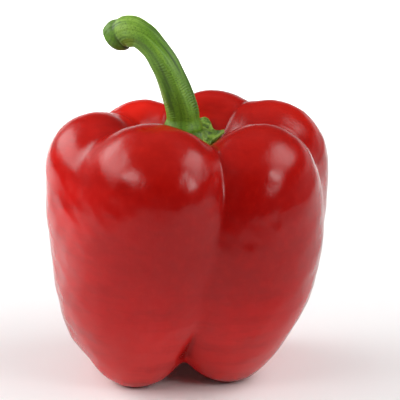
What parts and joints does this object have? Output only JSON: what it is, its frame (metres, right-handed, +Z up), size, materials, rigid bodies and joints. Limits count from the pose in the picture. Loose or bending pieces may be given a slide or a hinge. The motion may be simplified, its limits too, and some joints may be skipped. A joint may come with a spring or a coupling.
{
  "type": "bell pepper",
  "caption": "Blocky red bell pepper with rounded lobes, green calyx and curved stem, standing on its noses.",
  "frame": {"origin": "on the ground, under the middle of the fruit's outline seen from above", "axes": "+Z up along the stem's base, -Y towards the side the picture shows, +X to that view's right"},
  "size_m": [0.0887, 0.08, 0.1128],
  "materials": {
    "fruit_skin": "glossy waxy skin",
    "calyx": "knobbly satin green",
    "stem": "satin green with long ribs"
  },
  "bodies": {
    "root": {"fruit": "fruit_skin", "calyx": "calyx", "stem": "stem"}
  },
  "joints": []
}
